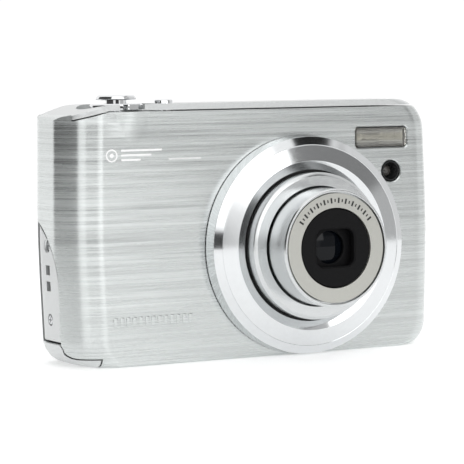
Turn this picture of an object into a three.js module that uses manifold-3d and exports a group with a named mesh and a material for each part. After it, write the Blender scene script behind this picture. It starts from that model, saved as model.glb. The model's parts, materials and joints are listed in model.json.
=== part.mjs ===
// Compact digital camera with a retracting zoom lens.
//
// Frame: millimetres, +Z up. The lens looks along -Y, the grip and shutter end is at -X.
// The origin is at the middle of the underside. Inside the lens group, y = 0 is the front
// face of the body and negative y is out towards the subject.

import * as THREE from 'three';
import { mergeVertices } from 'three/addons/utils/BufferGeometryUtils.js';
import Module from 'manifold-3d';

const wasm = await Module();
wasm.setup();

// ---------------------------------------------------------------- driving dimensions (mm)

const BODY_WIDTH = 100;
const HEIGHT_BESIDE_LENS = 12.2;
const DEPTH_BESIDE_BATTERY = 17;
const WALL = 1.0;
const SEAM = 0.3;
const PLATE_THICKNESS = 1.6;
const SIDE_BOW = 1.1;
const SHOULDER_DROP = 3.0;
const SHOULDER_RUN = 11;
const REAR_DEPTH = 4;
const FRONT_CORNERS = { left: 9, right: 6 };
const REAR_CORNER = 8;

const BEZEL_RADIUS = 26.4;
const BEZEL_DEPTH = 5.2;
const OUTER_BARREL_RADIUS = 17.6;
const OUTER_BARREL_REACH = 8.2;
const OUTER_BARREL_LENGTH = 22;
const INNER_BARREL_RADIUS = 14.0;
const INNER_BARREL_REACH = 16.2;
const INNER_BARREL_LENGTH = 18;
const BARREL_WALL = 1.2;
const NAME_RING_RADIUS = 13.05;
const MASK_RADIUS = 9.2;
const WINDOW_WIDTH = 10.3;
const WINDOW_HEIGHT = 8.9;
const GEAR_MODULE = 0.6;
const PINION_TEETH = 10;
const GEAR_WIDTH = 1.5;

const BATTERY = { width: 30.7, thickness: 7, height: 40.6 };
const CARD = { width: 24, thickness: 2.1, height: 32 };
const CARD_TRAVEL = 0.8;
const DOOR_THICKNESS = 1.3;
const CAP_WIDTH = 8.15;
const CAP_HEIGHT = 2.0;
const CAP_SIDE_HEIGHT = 5.3;

const SHUTTER_INSET = 17;
const SHUTTER_RADIUS = 4.8;
const LEVER_RADIUS = 6.3;
const POWER_INSET = 29.4;
const TOP_CONTROLS_Y = -3;

const FLASH = { width: 14.7, height: 5.2, inset: 15.5, drop: 9.4 };
const AF_LAMP = { radius: 2.7, beside: 0.95, drop: 17.8 };
const LCD = { width: 59, height: 47, inset: 4, base: 7 };
const PAD_RADIUS = 8.6;
const TRIPOD = { bore: 3.1, radius: 4.6, height: 7, inset: 10.5, y: -3.5 };
const USB = { width: 7.7, height: 3.0, z: 22 };
const SCREW_RADIUS = 1.1;

// ---------------------------------------------------------------- derived places

const CAM_RADIUS = OUTER_BARREL_RADIUS + 1.8;
const TUBE_RADIUS = CAM_RADIUS + 1.6;
const COLLAR_RADIUS = TUBE_RADIUS - 0.3;
const FLANGE_RADIUS = TUBE_RADIUS + 3.5;

const BODY_HEIGHT = 2 * FLANGE_RADIUS + HEIGHT_BESIDE_LENS;
const BODY_DEPTH = BATTERY.thickness + DEPTH_BESIDE_BATTERY;
const LEFT = -BODY_WIDTH / 2;
const RIGHT = BODY_WIDTH / 2;
const FRONT = -BODY_DEPTH / 2;
const REAR = BODY_DEPTH / 2;
const PARTING = REAR - REAR_DEPTH;
const COVER_TOP = BODY_HEIGHT - PLATE_THICKNESS;
const CAVITY_REAR = REAR - WALL;

const BAY_LEFT = LEFT + 4.6;
const BAY_FLOOR = 3.0;
const BAY_WALL = 0.7;
const BAY_RIGHT = BAY_LEFT + BATTERY.width + 0.8;
const LENS_LEFT = BAY_RIGHT + BAY_WALL + 0.45;
const LENS_OFFSET = LENS_LEFT + FLANGE_RADIUS;
const LENS_HEIGHT = FLANGE_RADIUS + 2;

const SHUTTER_X = LEFT + SHUTTER_INSET;
const POWER_X = LEFT + POWER_INSET;
const SEAT_RADIUS = 9.1;
const SEAT_TOP = COVER_TOP - SEAM;
const BULGE_RADIUS = 10.1;

const RING_TEETH = Math.round((2 * (CAM_RADIUS + 2.2)) / GEAR_MODULE);
const RING_PITCH = (GEAR_MODULE * RING_TEETH) / 2;
const PINION_PITCH = (GEAR_MODULE * PINION_TEETH) / 2;

const BOARD_Y = PARTING - 0.7;
const BOARD_THICKNESS = 0.8;
const SENSOR_PLATE = { front: BOARD_Y - 1.1 - FRONT, thickness: 0.8 };
const GEAR_PLANE = SENSOR_PLATE.front - 0.3 - GEAR_WIDTH;
const TUBE_END = GEAR_PLANE - 0.3;
const LCD_CENTRE_X = RIGHT - LCD.inset - LCD.width / 2;
const LCD_CENTRE_Z = LCD.base + LCD.height / 2;
const KEYS_X = (LEFT + LCD_CENTRE_X - LCD.width / 2) / 2 + 0.7;

const BATTERY_Y = FRONT + 4.8;
const CARD_X = BAY_LEFT + 2.4;
const CARD_Y = BATTERY_Y + BATTERY.thickness + 2.8;
const BAY_TOP = BAY_FLOOR + BATTERY.height + 1.6;
const HINGE_X = BAY_RIGHT + 0.3;
const HINGE_Z = 0.75;
const KNUCKLE_RADIUS = 0.7;
const DOOR_FRONT = FRONT + 3.5;
const DOOR_REAR = PARTING - 1;

const colour = (hex, roughness, metalness) =>
  new THREE.MeshStandardMaterial({ color: hex, roughness, metalness });
const MATERIAL = {
  brushed: colour(0xc8cdce, 0.34, 1.0),
  chrome: colour(0xd9dcde, 0.1, 1.0),
  silverPlastic: colour(0xcdd1d2, 0.4, 0.2),
  blackPlastic: colour(0x1a1b1c, 0.5, 0.0),
  greyMetal: colour(0x8d9193, 0.35, 1.0),
  nameRing: colour(0x9fa09b, 0.3, 0.8),
  glass: colour(0x1c2430, 0.05, 0.0),
  clear: colour(0xd8d8cf, 0.15, 0.0),
  screen: colour(0x0c0d10, 0.06, 0.0),
  board: colour(0x1f4a36, 0.5, 0.0),
  brass: colour(0xb59a5b, 0.3, 1.0),
  cell: colour(0x2b2d30, 0.45, 0.0),
  steel: colour(0xb4b8ba, 0.28, 1.0),
};

// ---------------------------------------------------------------- solids

// A solid from any closed three.js geometry, with its faces turned outwards.
function solidOf(geometry) {
  const bare = geometry.index ? geometry.toNonIndexed() : geometry.clone();
  bare.deleteAttribute('normal');
  bare.deleteAttribute('uv');
  const merged = mergeVertices(bare, 1e-4);
  const points = merged.attributes.position.array;
  const index = merged.index.array;
  const triangles = [];
  let volume = 0;
  for (let i = 0; i < index.length; i += 3) {
    const [a, b, c] = [index[i], index[i + 1], index[i + 2]];
    if (a === b || b === c || c === a) continue;
    triangles.push(a, b, c);
    const [p, q, r] = [a, b, c].map((k) => new THREE.Vector3().fromArray(points, 3 * k));
    volume += p.dot(q.cross(r));
  }
  if (volume < 0) triangles.reverse();
  return new wasm.Manifold(new wasm.Mesh({
    numProp: 3,
    vertProperties: new Float32Array(points),
    triVerts: new Uint32Array(triangles),
  }));
}

function geometryOf(solid) {
  const mesh = solid.getMesh();
  const geometry = new THREE.BufferGeometry();
  geometry.setAttribute('position', new THREE.BufferAttribute(mesh.vertProperties, 3));
  geometry.setIndex(new THREE.BufferAttribute(mesh.triVerts, 1));
  geometry.computeVertexNormals();
  return geometry;
}

// A box whose corners take the given numbers exactly, so that boxes side by side line up.
function box(x0, x1, y0, y1, z0, z1) {
  const geometry = new THREE.BoxGeometry(1, 1, 1);
  const corner = geometry.attributes.position;
  const pick = (side, low, high) => (side > 0 ? high : low);
  for (let i = 0; i < corner.count; i += 1) {
    corner.setXYZ(i, pick(corner.getX(i), x0, x1), pick(corner.getY(i), y0, y1),
      pick(corner.getZ(i), z0, z1));
  }
  return solidOf(geometry);
}

// Cylinders along each axis; the first pair of numbers is the centre across the axis.
function rodX(y, z, radius, x0, x1, sides = 20) {
  const geometry = new THREE.CylinderGeometry(radius, radius, x1 - x0, sides);
  return solidOf(geometry.rotateZ(Math.PI / 2).translate((x0 + x1) / 2, y, z));
}

function rodY(x, z, radius, y0, y1, sides = 20) {
  const geometry = new THREE.CylinderGeometry(radius, radius, y1 - y0, sides);
  return solidOf(geometry.translate(x, (y0 + y1) / 2, z));
}

function rodZ(x, y, radius, z0, z1, sides = 20, topRadius = radius) {
  const geometry = new THREE.CylinderGeometry(topRadius, radius, z1 - z0, sides);
  return solidOf(geometry.rotateX(Math.PI / 2).translate(x, y, (z0 + z1) / 2));
}

// Turned pieces: the profile is [radius, height along the axis], closed on itself.
function turnY(profile, sides = 28) {
  const points = [...profile, profile[0]].map(([r, h]) => new THREE.Vector2(r, h));
  return solidOf(new THREE.LatheGeometry(points, sides));
}

function turnZ(profile, sides = 22) {
  const points = [...profile, profile[0]].map(([r, h]) => new THREE.Vector2(r, h));
  return solidOf(new THREE.LatheGeometry(points, sides).rotateX(Math.PI / 2));
}

const ring = (inner, outer, y0, y1) => [[inner, y0], [outer, y0], [outer, y1], [inner, y1]];

// Flat outlines swept square to their plane.
function prismY(outline, y0, y1) {
  const geometry = new THREE.ExtrudeGeometry(outline, { depth: y1 - y0, bevelEnabled: false });
  return solidOf(geometry.rotateX(Math.PI / 2).translate(0, y1, 0));
}

function prismZ(outline, z0, z1) {
  const geometry = new THREE.ExtrudeGeometry(outline, { depth: z1 - z0, bevelEnabled: false });
  return solidOf(geometry.translate(0, 0, z0));
}

function prismX(outline, x0, x1) {
  const geometry = new THREE.ExtrudeGeometry(outline, { depth: x1 - x0, bevelEnabled: false });
  const turn = new THREE.Matrix4().makeBasis(
    new THREE.Vector3(0, 1, 0), new THREE.Vector3(0, 0, 1), new THREE.Vector3(1, 0, 0));
  return solidOf(geometry.applyMatrix4(turn).translate(x0, 0, 0));
}

// A polygon whose corners [x, y, radius] are rounded by arcs.
function rounded(corners, steps = 5) {
  const points = [];
  corners.forEach(([x, y, radius], i) => {
    const here = new THREE.Vector2(x, y);
    const before = corners[(i + corners.length - 1) % corners.length];
    const after = corners[(i + 1) % corners.length];
    const back = new THREE.Vector2(before[0], before[1]).sub(here).normalize();
    const on = new THREE.Vector2(after[0], after[1]).sub(here).normalize();
    const half = Math.acos(THREE.MathUtils.clamp(back.dot(on), -1, 1)) / 2;
    if (radius <= 0) {
      points.push(here);
      return;
    }
    const middle = back.clone().add(on).normalize();
    const centre = here.clone().addScaledVector(middle, radius / Math.sin(half));
    const start = here.clone().addScaledVector(back, radius / Math.tan(half)).sub(centre);
    const turn = (Math.PI - 2 * half) * Math.sign(back.cross(on));
    const pieces = Math.abs(turn) < 0.3 ? 3 : steps;
    for (let k = 0; k <= pieces; k += 1) {
      const spoke = start.clone().rotateAround(new THREE.Vector2(), (-turn * k) / pieces);
      points.push(centre.clone().add(spoke));
    }
  });
  return new THREE.Shape(points);
}

function roundedBox(width, height, radius, steps = 3) {
  const [w, h] = [width / 2, height / 2];
  return rounded([[-w, -h, radius], [w, -h, radius], [w, h, radius], [-w, h, radius]], steps);
}

function slab(outline, x, z, y0, y1) {
  return prismY(outline, y0, y1).translate([x, 0, z]);
}

const model = new THREE.Group();

function add(parent, name, solid, material, place = [0, 0, 0]) {
  const mesh = new THREE.Mesh(geometryOf(solid), material);
  mesh.name = name;
  mesh.position.set(...place);
  parent.add(mesh);
  return mesh;
}

function groupAt(...place) {
  const group = new THREE.Group();
  group.position.set(...place);
  model.add(group);
  return group;
}

// ---------------------------------------------------------------- body shell

// The outer form of the whole body, drawn in by a constant inset.
function bodyForm(inset) {
  const [x0, x1] = [LEFT + inset, RIGHT - inset];
  const [z0, z1] = [inset, BODY_HEIGHT - inset];
  const soft = (radius) => Math.max(radius - inset, 0.4);
  const face = rounded([
    [x0 + SIDE_BOW, z0, soft(6.5)],
    [x1 - SIDE_BOW, z0, soft(6)],
    [x1, LENS_HEIGHT + 2, 260],
    [x1 - SIDE_BOW, z1, soft(8)],
    [x0 + SHOULDER_RUN, z1, 12],
    [x0 + 0.6, z1 - SHOULDER_DROP, soft(1.6)],
    [x0, LENS_HEIGHT + 2, 260],
  ]);
  const plan = rounded([
    [x0, FRONT + inset, soft(FRONT_CORNERS.left)],
    [x1, FRONT + inset, soft(FRONT_CORNERS.right)],
    [x1, REAR - inset, soft(REAR_CORNER)],
    [x0, REAR - inset, soft(REAR_CORNER)],
  ]);
  const upright = prismY(face, FRONT + inset, REAR - inset);
  return upright.intersect(prismZ(plan, z0 - 1, z1 + 1));
}

const outerForm = bodyForm(0);
const cavity = bodyForm(WALL);

// Everything above the covers' top edge, which steps down along the left shoulder.
function topZone(raise) {
  const outline = new THREE.Shape([
    new THREE.Vector2(LEFT + 3, COVER_TOP - 1.9 + raise),
    new THREE.Vector2(LEFT + SHOULDER_RUN, COVER_TOP + raise),
    new THREE.Vector2(RIGHT + 5, COVER_TOP + raise),
    new THREE.Vector2(RIGHT + 5, BODY_HEIGHT + 5),
    new THREE.Vector2(LEFT + 3, BODY_HEIGHT + 5),
  ]);
  return prismY(outline, FRONT - 1, REAR + 1);
}

// The door's corner cap and its plate under the battery bay, grown by a clearance.
function doorZone(grow) {
  const inner = LEFT + CAP_WIDTH + grow;
  const cap = rounded([
    [LEFT - 3, -3, 0],
    [inner, -3, 0],
    [inner, CAP_HEIGHT + grow, 0],
    [LEFT + 2.3, CAP_HEIGHT + grow, 2.4],
    [LEFT + 1.0, CAP_SIDE_HEIGHT + grow, 0],
    [LEFT - 3, CAP_SIDE_HEIGHT + grow, 0],
  ], 4);
  const plate = box(LEFT + 4, HINGE_X + grow, DOOR_FRONT - grow, DOOR_REAR + grow,
    -1, DOOR_THICKNESS + grow);
  const hinge = rodY(HINGE_X, HINGE_Z, KNUCKLE_RADIUS + grow, DOOR_FRONT - grow, DOOR_REAR + grow, 16);
  return { cap: prismY(cap, FRONT - 2, PARTING - SEAM + grow), plate, hinge };
}

// Outline of the strap-side panel in the Y-Z plane, grown by a clearance.
function panelOutline(grow) {
  const front = -4.2 - grow;
  const rear = PARTING - SEAM + grow;
  const base = CAP_SIDE_HEIGHT + 0.45 - grow;
  const shape = new THREE.Shape();
  shape.moveTo(front, base);
  shape.lineTo(rear, base);
  shape.lineTo(rear, 33.6 + grow);
  shape.bezierCurveTo(1.5, 31.2 + grow, front, 25.5, front, 18);
  return new THREE.Shape(shape.getPoints(8));
}

const PANEL_ITEMS_Y = 1.6;
const SIDE_SCREWS = { upper: 28.2, lower: 10.8 };
const STRAP_SLOT = { width: 2.2, z0: 17.6, z1: 23.6, depth: 5 };
const BOTTOM_SCREWS = { left: LENS_LEFT + 16, right: LENS_OFFSET + 16, y: 1.5 };

function lensOpening() {
  return rodY(LENS_OFFSET, LENS_HEIGHT, COLLAR_RADIUS + SEAM, FRONT - 2, FRONT + 3, 48);
}

const flashPlace = { x: RIGHT - FLASH.inset, z: BODY_HEIGHT - FLASH.drop };
const afPlace = { x: LENS_OFFSET + FLANGE_RADIUS + AF_LAMP.beside, z: BODY_HEIGHT - AF_LAMP.drop };
const tripodPlace = { x: RIGHT - TRIPOD.inset, y: TRIPOD.y };

function frontCover() {
  const zone = doorZone(SEAM);
  const seat = rodZ(SHUTTER_X, TOP_CONTROLS_Y, SEAT_RADIUS, SEAT_TOP - 1, SEAT_TOP, 36);
  const bulge = rodZ(SHUTTER_X, TOP_CONTROLS_Y, 8.9, COVER_TOP - 9, SEAT_TOP, 36, BULGE_RADIUS)
    .intersect(box(LEFT, RIGHT, FRONT - 4, FRONT + WALL + 0.5, 0, BODY_HEIGHT));
  const panelHole = prismX(panelOutline(SEAM), LEFT - 2, LEFT + 6)
    .subtract(bodyForm(2.2));
  return outerForm
    .subtract(cavity)
    .add(bulge)
    .add(seat.intersect(bodyForm(WALL / 2)))
    .subtract(topZone(-SEAM).subtract(rodZ(SHUTTER_X, TOP_CONTROLS_Y, SEAT_RADIUS, 0, SEAT_TOP, 36)))
    .subtract(box(LEFT - 1, RIGHT + 1, PARTING - SEAM / 2, REAR + 1, -1, BODY_HEIGHT + 1))
    .subtract(lensOpening())
    .subtract(slab(roundedBox(FLASH.width, FLASH.height, 0.9), flashPlace.x, flashPlace.z,
      FRONT - 1, FRONT + 3))
    .subtract(rodY(afPlace.x, afPlace.z, AF_LAMP.radius, FRONT - 1, FRONT + 3, 24))
    .subtract(panelHole)
    .subtract(zone.cap)
    .subtract(zone.plate)
    .subtract(zone.hinge)
    .subtract(rodZ(tripodPlace.x, tripodPlace.y, TRIPOD.radius + SEAM, -1, 3, 28))
    .subtract(rodZ(SHUTTER_X, TOP_CONTROLS_Y, 3.3, SEAT_TOP - 3, SEAT_TOP + 2, 20))
    .subtract(box(RIGHT - 4, RIGHT + 2, BOARD_Y - USB.height - 0.6, BOARD_Y + 0.2,
      USB.z - USB.width / 2 - 0.5, USB.z + USB.width / 2 + 0.5))
    .subtract(rodZ(BOTTOM_SCREWS.left, BOTTOM_SCREWS.y, SCREW_RADIUS + SEAM, -1, 3, 16))
    .subtract(rodZ(BOTTOM_SCREWS.right, BOTTOM_SCREWS.y, SCREW_RADIUS + SEAM, -1, 3, 16));
}

const KEY_PLACES = {
  key_play: { x: KEYS_X - 7, z: 41, radius: 2.6 },
  key_menu: { x: KEYS_X + 7, z: 41, radius: 2.6 },
};
const PAD_Z = 24;
const KEY_GAP = 0.35;

function rearCover() {
  const window = slab(roundedBox(LCD.width + 2 * SEAM, LCD.height + 2 * SEAM, 1.5),
    LCD_CENTRE_X, LCD_CENTRE_Z, PARTING, REAR + 1);
  let cover = outerForm
    .subtract(cavity)
    .subtract(topZone(-SEAM))
    .subtract(box(LEFT - 1, RIGHT + 1, FRONT - 3, PARTING + SEAM / 2, -1, BODY_HEIGHT + 1))
    .subtract(window)
    .subtract(rodY(KEYS_X, PAD_Z, PAD_RADIUS + KEY_GAP, REAR - 3, REAR + 1, 36));
  Object.values(KEY_PLACES).forEach(({ x, z, radius }) => {
    cover = cover.subtract(rodY(x, z, radius + KEY_GAP, REAR - 3, REAR + 1, 20));
  });
  return cover;
}

function topPlate() {
  const notch = rodZ(SHUTTER_X, TOP_CONTROLS_Y, SEAT_RADIUS + SEAM, 40, BODY_HEIGHT + 2, 36);
  return bodyForm(0.25)
    .intersect(topZone(0))
    .subtract(notch)
    .subtract(rodZ(POWER_X, TOP_CONTROLS_Y, 2.25 + KEY_GAP, 40, BODY_HEIGHT + 2, 20));
}

function sidePanel() {
  const blind = (z) => rodX(PANEL_ITEMS_Y, z, SCREW_RADIUS + SEAM, LEFT - 2, LEFT + 4, 16);
  const slot = box(LEFT - 2, LEFT + 4, PANEL_ITEMS_Y - STRAP_SLOT.width / 2,
    PANEL_ITEMS_Y + STRAP_SLOT.width / 2, STRAP_SLOT.z0, STRAP_SLOT.z1);
  return prismX(panelOutline(0), LEFT - 2, LEFT + 6)
    .intersect(bodyForm(0.75))
    .subtract(bodyForm(1.95))
    .subtract(slot)
    .subtract(blind(SIDE_SCREWS.upper))
    .subtract(blind(SIDE_SCREWS.lower));
}

function screw(turned) {
  return turned([[0, 0], [SCREW_RADIUS, 0], [SCREW_RADIUS, 0.7], [0.55, 0.9], [0.55, 2.1], [0, 2.1]]);
}

const screwZ = screw((profile) => turnZ(profile, 10));

function buildShell() {
  add(model, 'front_cover', frontCover(), MATERIAL.brushed);
  add(model, 'rear_cover', rearCover(), MATERIAL.silverPlastic);
  add(model, 'top_plate', topPlate(), MATERIAL.silverPlastic);
  add(model, 'side_panel', sidePanel(), MATERIAL.silverPlastic);
  const middle = (STRAP_SLOT.z0 + STRAP_SLOT.z1) / 2;
  const half = STRAP_SLOT.width / 2 - 0.3;
  const bar = box(0, 1.6, -half, half, -0.75, 0.75).add(box(1.2, 1.9, -2.4, 2.4, -0.75, 0.75));
  add(model, 'strap_bar', bar, MATERIAL.chrome, [LEFT + 1.2, PANEL_ITEMS_Y, middle]);
  const turned = solidOf(geometryOf(screwZ).rotateY(Math.PI / 2));
  add(model, 'side_screw_upper', turned, MATERIAL.steel, [LEFT + 1.2, PANEL_ITEMS_Y, SIDE_SCREWS.upper]);
  add(model, 'side_screw_lower', turned, MATERIAL.steel, [LEFT + 1.2, PANEL_ITEMS_Y, SIDE_SCREWS.lower]);
  add(model, 'bottom_screw_left', screwZ, MATERIAL.steel, [BOTTOM_SCREWS.left, BOTTOM_SCREWS.y, 0.25]);
  add(model, 'bottom_screw_right', screwZ, MATERIAL.steel, [BOTTOM_SCREWS.right, BOTTOM_SCREWS.y, 0.25]);
  const insert = rodZ(0, 0, TRIPOD.radius, 0, TRIPOD.height, 28)
    .subtract(rodZ(0, 0, TRIPOD.bore, -1, TRIPOD.height - 1, 28));
  add(model, 'tripod_insert', insert, MATERIAL.brass, [tripodPlace.x, tripodPlace.y, 0.3]);
}

// ---------------------------------------------------------------- lens unit

// A toothed wheel whose tooth centres start at the phase angle; count limits it to a sector.
function gear(teeth, width, bore, phase, first = 0, count = teeth) {
  const pitch = (GEAR_MODULE * teeth) / 2;
  const root = pitch - 0.75 * GEAR_MODULE;
  const tip = pitch + 0.5 * GEAR_MODULE;
  const step = (2 * Math.PI) / teeth;
  const at = (radius, angle) => new THREE.Vector2(radius * Math.cos(angle), radius * Math.sin(angle));
  const points = [];
  for (let k = 0; k < teeth; k += 1) {
    const middle = phase + k * step;
    const toothed = (k - first + teeth) % teeth < count;
    if (toothed) {
      points.push(at(root, middle - 0.27 * step), at(tip, middle - 0.11 * step));
      points.push(at(tip, middle + 0.11 * step), at(root, middle + 0.27 * step));
    } else if (k % 2 === 0) {
      points.push(at(root, middle));
    }
  }
  const sides = bore > 5 ? 32 : 10;
  return prismY(new THREE.Shape(points), 0, width).subtract(rodY(0, 0, bore, -1, width + 1, sides));
}

// Drive train: cam ring, one idler and the motor pinion, all in one plane.
const DRIVE = (() => {
  const toIdler = THREE.MathUtils.degToRad(213.5);
  const idler = new THREE.Vector2(Math.cos(toIdler), Math.sin(toIdler))
    .multiplyScalar(RING_PITCH + PINION_PITCH);
  const toMotor = THREE.MathUtils.degToRad(276);
  const motor = idler.clone().add(
    new THREE.Vector2(Math.cos(toMotor), Math.sin(toMotor)).multiplyScalar(2 * PINION_PITCH));
  const step = (2 * Math.PI) / PINION_TEETH;
  const idlerPhase = toIdler + Math.PI + step / 2;
  const offset = THREE.MathUtils.euclideanModulo(toMotor - idlerPhase, step);
  return {
    ringPhase: toIdler,
    idler,
    idlerPhase,
    motor,
    motorPhase: toMotor + Math.PI + offset + step / 2,
  };
})();

function camRing() {
  const tube = turnY(ring(CAM_RADIUS - 1.2, CAM_RADIUS, 3.2, GEAR_PLANE + 0.5), 32);
  const teeth = gear(RING_TEETH, GEAR_WIDTH, CAM_RADIUS - 1.2, DRIVE.ringPhase, RING_TEETH - 15, 26);
  return tube.add(teeth.translate([0, GEAR_PLANE, 0]));
}

function fixedTube() {
  const inner = CAM_RADIUS + 0.4;
  let tube = turnY([
    [inner, 3.2], [COLLAR_RADIUS + 0.35, 3.2], [COLLAR_RADIUS + 0.35, WALL + 0.35],
    [FLANGE_RADIUS, WALL + 0.35], [FLANGE_RADIUS, 3.7], [TUBE_RADIUS, 3.7],
    [TUBE_RADIUS, TUBE_END], [inner, TUBE_END],
  ], 32);
  [45, 135, 315].forEach((degrees) => {
    const angle = THREE.MathUtils.degToRad(degrees);
    const reach = FLANGE_RADIUS - 0.9;
    tube = tube.add(rodY(reach * Math.cos(angle), reach * Math.sin(angle), 1.1, 3.4,
      SENSOR_PLATE.front - 0.3, 12));
  });
  return tube;
}

function lensBezel() {
  const [rim, lip] = [BEZEL_RADIUS, OUTER_BARREL_RADIUS + 0.95];
  return turnY([
    [rim, -SEAM], [rim - 0.4, -BEZEL_DEPTH + 1.6], [rim - 2.3, -BEZEL_DEPTH + 0.7],
    [lip + 1.05, -BEZEL_DEPTH], [lip + 0.45, -BEZEL_DEPTH], [lip, -BEZEL_DEPTH + 0.4],
    [lip, 2.6], [COLLAR_RADIUS, 2.6], [COLLAR_RADIUS, -SEAM],
  ], 44);
}

function outerBarrel() {
  const front = -OUTER_BARREL_REACH;
  const R = OUTER_BARREL_RADIUS;
  const mouth = INNER_BARREL_RADIUS + 0.4;
  return turnY([
    [mouth, front], [R - 0.86, front], [R, front + 0.6], [R, front + OUTER_BARREL_LENGTH],
    [R - BARREL_WALL, front + OUTER_BARREL_LENGTH], [R - BARREL_WALL, front + 1.2], [mouth, front + 1.2],
  ], 36);
}

function innerBarrel() {
  const front = -INNER_BARREL_REACH;
  const rear = front + INNER_BARREL_LENGTH;
  const R = INNER_BARREL_RADIUS;
  const flange = OUTER_BARREL_RADIUS - BARREL_WALL - 0.35;
  return turnY([
    [NAME_RING_RADIUS + 0.2, front], [R - 0.4, front], [R, front + 0.4], [R, rear - 1.2],
    [flange, rear - 1.2], [flange, rear], [R - 1.4, rear], [R - 1.4, front + 1.5],
    [NAME_RING_RADIUS + 0.2, front + 1.5],
  ], 32);
}

function barrierMask(bore) {
  const front = -INNER_BARREL_REACH + 0.4;
  const disc = turnY([
    [0, front], [MASK_RADIUS, front], [MASK_RADIUS, front + 1.1], [bore, front + 1.1],
    [bore, front + 1.7], [0, front + 1.7],
  ], 28);
  return disc.subtract(prismY(roundedBox(WINDOW_WIDTH, WINDOW_HEIGHT, 2), front - 1, front + 3));
}

function barrierBlade(side) {
  const reach = WINDOW_HEIGHT / 2 + 0.45;
  const flat = rounded([[-6, 0, 0.5], [6, 0, 0.5], [6, 3.4, 0.5], [3.6, 5.2, 0.5], [-3.6, 5.2, 0.5],
    [-6, 3.4, 0.5]], 2);
  const blade = prismY(flat, 0, 0.4).translate([0, 0, reach]);
  return side > 0 ? blade : blade.mirror([0, 0, 1]);
}

function lensHolder(bore) {
  const front = -INNER_BARREL_REACH + 3.3;
  return turnY([
    [3.9, front], [bore, front], [bore, front + 6], [6.35, front + 6], [6.35, front + 0.6],
    [3.9, front + 0.6],
  ], 24);
}

function frontLens() {
  const front = -INNER_BARREL_REACH + 4.2;
  const profile = [[0, front], [2, front + 0.06], [4, front + 0.3], [6.05, front + 0.8],
    [6.05, front + 2.4], [0, front + 2.4]];
  return turnY(profile, 24);
}

function buildLens() {
  const lens = groupAt(LENS_OFFSET, FRONT, LENS_HEIGHT);
  const bore = INNER_BARREL_RADIUS - 1.4 - 0.3;
  const nameFront = -INNER_BARREL_REACH + 0.2;
  add(lens, 'lens_bezel', lensBezel(), MATERIAL.chrome);
  add(lens, 'light_seal', turnY(ring(OUTER_BARREL_RADIUS + 0.12, OUTER_BARREL_RADIUS + 0.7, 0, 0.9), 36),
    MATERIAL.blackPlastic, [0, -BEZEL_DEPTH + 1.1, 0]);
  add(lens, 'fixed_tube', fixedTube(), MATERIAL.blackPlastic);
  add(lens, 'cam_ring', camRing(), MATERIAL.blackPlastic);
  add(lens, 'outer_barrel', outerBarrel(), MATERIAL.chrome);
  add(lens, 'inner_barrel', innerBarrel(), MATERIAL.chrome);
  add(lens, 'name_ring', turnY(ring(MASK_RADIUS + 0.3, NAME_RING_RADIUS, 0, 1), 32),
    MATERIAL.nameRing, [0, nameFront, 0]);
  add(lens, 'barrier_mask', barrierMask(bore), MATERIAL.blackPlastic);
  const bladeY = -INNER_BARREL_REACH + 2.5;
  add(lens, 'barrier_blade_upper', barrierBlade(1), MATERIAL.blackPlastic, [0, bladeY, 0]);
  add(lens, 'barrier_blade_lower', barrierBlade(-1), MATERIAL.blackPlastic, [0, bladeY, 0]);
  add(lens, 'lens_holder', lensHolder(bore), MATERIAL.blackPlastic);
  add(lens, 'front_lens', frontLens(), MATERIAL.glass);
  add(lens, 'iris_unit', turnY(ring(3, bore, 0, 2.4), 24), MATERIAL.blackPlastic,
    [0, -INNER_BARREL_REACH + 9.6, 0]);

  const rodRadius = 0.5;
  const rodPlace = 8.5;
  const focusY = 10.2;
  const carrier = turnY(ring(5.2, 10.2, 0, 2.6), 24)
    .subtract(rodY(rodPlace, 0, rodRadius + 0.15, -1, 4, 12))
    .subtract(rodY(-rodPlace, 0, rodRadius + 0.15, -1, 4, 12));
  add(lens, 'focus_carrier', carrier, MATERIAL.blackPlastic, [0, focusY, 0]);
  add(lens, 'focus_lens', turnY([[0, -0.2], [2.6, 0], [4.9, 0.5], [4.9, 2.0], [0, 2.3]], 18),
    MATERIAL.glass, [0, focusY, 0]);
  const reach = FLANGE_RADIUS - 0.2;
  const low = 1 - reach;
  const outline = rounded([
    [-reach, low, 6], [0.8 * reach, low, 6], [0.8 * reach, -low, 6], [-reach, -low, 6],
  ], 3);
  const plate = prismY(outline, 0, SENSOR_PLATE.thickness)
    .subtract(box(-6, 6, -1, 2, -5, 5))
    .add(rodY(rodPlace, 0, rodRadius, focusY - 1.9 - SENSOR_PLATE.front, 0.2, 12))
    .add(rodY(-rodPlace, 0, rodRadius, focusY - 1.9 - SENSOR_PLATE.front, 0.2, 12));
  add(lens, 'sensor_plate', plate, MATERIAL.greyMetal, [0, SENSOR_PLATE.front, 0]);
  add(lens, 'image_sensor', box(-5, 5, -1.2, 0, -4.2, 4.2), MATERIAL.glass,
    [0, SENSOR_PLATE.front + 0.6, 0]);

  const idler = gear(PINION_TEETH, GEAR_WIDTH - 0.3, 0.7, DRIVE.idlerPhase);
  add(lens, 'idler_gear', idler, MATERIAL.brass, [DRIVE.idler.x, GEAR_PLANE + 0.15, DRIVE.idler.y]);
  const pinion = gear(PINION_TEETH, GEAR_WIDTH - 0.3, 0.55, DRIVE.motorPhase);
  add(lens, 'motor_pinion', pinion, MATERIAL.brass, [DRIVE.motor.x, GEAR_PLANE + 0.15, DRIVE.motor.y]);
  const motor = rodY(0, 0, 4.3, 4.2, GEAR_PLANE - 0.5, 24).add(rodY(0, 0, 0.5, 4.2, GEAR_PLANE + 1.5, 12));
  add(lens, 'zoom_motor', motor, MATERIAL.steel, [DRIVE.motor.x, 0, DRIVE.motor.y]);
}

// ---------------------------------------------------------------- flash and lamp

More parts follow.
